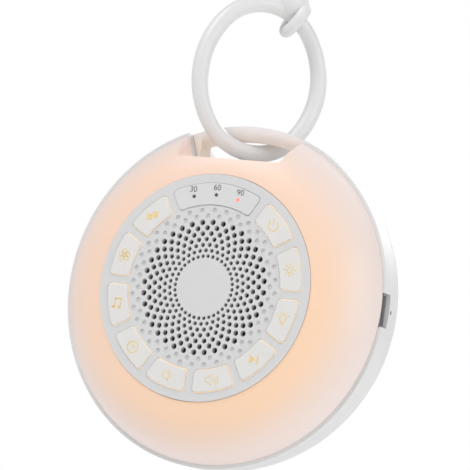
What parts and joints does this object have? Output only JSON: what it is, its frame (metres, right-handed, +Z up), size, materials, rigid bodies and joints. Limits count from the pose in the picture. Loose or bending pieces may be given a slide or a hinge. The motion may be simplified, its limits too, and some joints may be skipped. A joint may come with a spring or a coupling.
{
  "type": "white noise sound machine",
  "caption": "Round white noise machine with a ring of keys round a perforated speaker grille, a glowing diffuser, a charging socket and an oval silicone loop to hang it by.",
  "frame": {"origin": "top of the hanging loop's opening, where it bears on a hook", "axes": "+Z up towards the loop, the grille and keys face -Y, +X to the side with the charging socket"},
  "size_m": [0.096, 0.0373, 0.1382],
  "materials": {
    "silicone": "translucent satin silicone",
    "shell_white": "satin",
    "crown_grey": "translucent satin",
    "diffuser_milk": "milky satin, lit from inside",
    "panel_white": "satin",
    "key_white": "satin with gold symbols",
    "strip_grey": "satin",
    "membrane": "matte",
    "board_green": "solder mask",
    "dark_plastic": "matte",
    "cloth_grey": "woven",
    "foam": "foam",
    "steel": "plain",
    "cell_foil": "satin foil",
    "lamp": "gloss"
  },
  "bodies": {
    "loop": {"hanging_loop": "silicone"},
    "housing": {"rear_shell": "shell_white", "crown_bar": "crown_grey", "diffuser": "diffuser_milk", "front_panel": "panel_white", "indicator_strip": "strip_grey", "keypad_membrane": "membrane", "key_board": "board_green", "tact_switches": "dark_plastic", "indicator_leds": "lamp", "grille_cloth": "cloth_grey", "speaker_gasket": "foam", "speaker_frame": "steel", "speaker_cone": "dark_plastic", "speaker_magnet": "steel", "chassis": "panel_white", "lamp_board": "board_green", "lamp_leds": "lamp", "main_board": "board_green", "usb_socket": "steel", "charge_light": "lamp", "battery_cell": "cell_foil", "battery_pad": "foam", "housing_screws": "steel", "rest_pad": "silicone"},
    "key_power": {"key_power": "key_white"},
    "key_brightness": {"key_brightness": "key_white"},
    "key_lamp": {"key_lamp": "key_white"},
    "key_next": {"key_next": "key_white"},
    "key_volume_up": {"key_volume_up": "key_white"},
    "key_volume_down": {"key_volume_down": "key_white"},
    "key_timer": {"key_timer": "key_white"},
    "key_music": {"key_music": "key_white"},
    "key_fan": {"key_fan": "key_white"},
    "key_lock": {"key_lock": "key_white"}
  },
  "joints": [
    {"name": "housing_swing", "type": "hinge", "parent": "loop", "child": "housing", "pos_m": [0, -0.0007, -0.03406], "axis": [1, 0, 0], "range_deg": [-20, 20]},
    {"name": "key_power_press", "type": "slide", "parent": "housing", "child": "key_power", "axis": [0, 1, 0], "range_m": [0, 0.0008], "stiffness_N_per_m": 400},
    {"name": "key_brightness_press", "type": "slide", "parent": "housing", "child": "key_brightness", "axis": [0, 1, 0], "range_m": [0, 0.0008], "stiffness_N_per_m": 400},
    {"name": "key_lamp_press", "type": "slide", "parent": "housing", "child": "key_lamp", "axis": [0, 1, 0], "range_m": [0, 0.0008], "stiffness_N_per_m": 400},
    {"name": "key_next_press", "type": "slide", "parent": "housing", "child": "key_next", "axis": [0, 1, 0], "range_m": [0, 0.0008], "stiffness_N_per_m": 400},
    {"name": "key_volume_up_press", "type": "slide", "parent": "housing", "child": "key_volume_up", "axis": [0, 1, 0], "range_m": [0, 0.0008], "stiffness_N_per_m": 400},
    {"name": "key_volume_down_press", "type": "slide", "parent": "housing", "child": "key_volume_down", "axis": [0, 1, 0], "range_m": [0, 0.0008], "stiffness_N_per_m": 400},
    {"name": "key_timer_press", "type": "slide", "parent": "housing", "child": "key_timer", "axis": [0, 1, 0], "range_m": [0, 0.0008], "stiffness_N_per_m": 400},
    {"name": "key_music_press", "type": "slide", "parent": "housing", "child": "key_music", "axis": [0, 1, 0], "range_m": [0, 0.0008], "stiffness_N_per_m": 400},
    {"name": "key_fan_press", "type": "slide", "parent": "housing", "child": "key_fan", "axis": [0, 1, 0], "range_m": [0, 0.0008], "stiffness_N_per_m": 400},
    {"name": "key_lock_press", "type": "slide", "parent": "housing", "child": "key_lock", "axis": [0, 1, 0], "range_m": [0, 0.0008], "stiffness_N_per_m": 400}
  ]
}
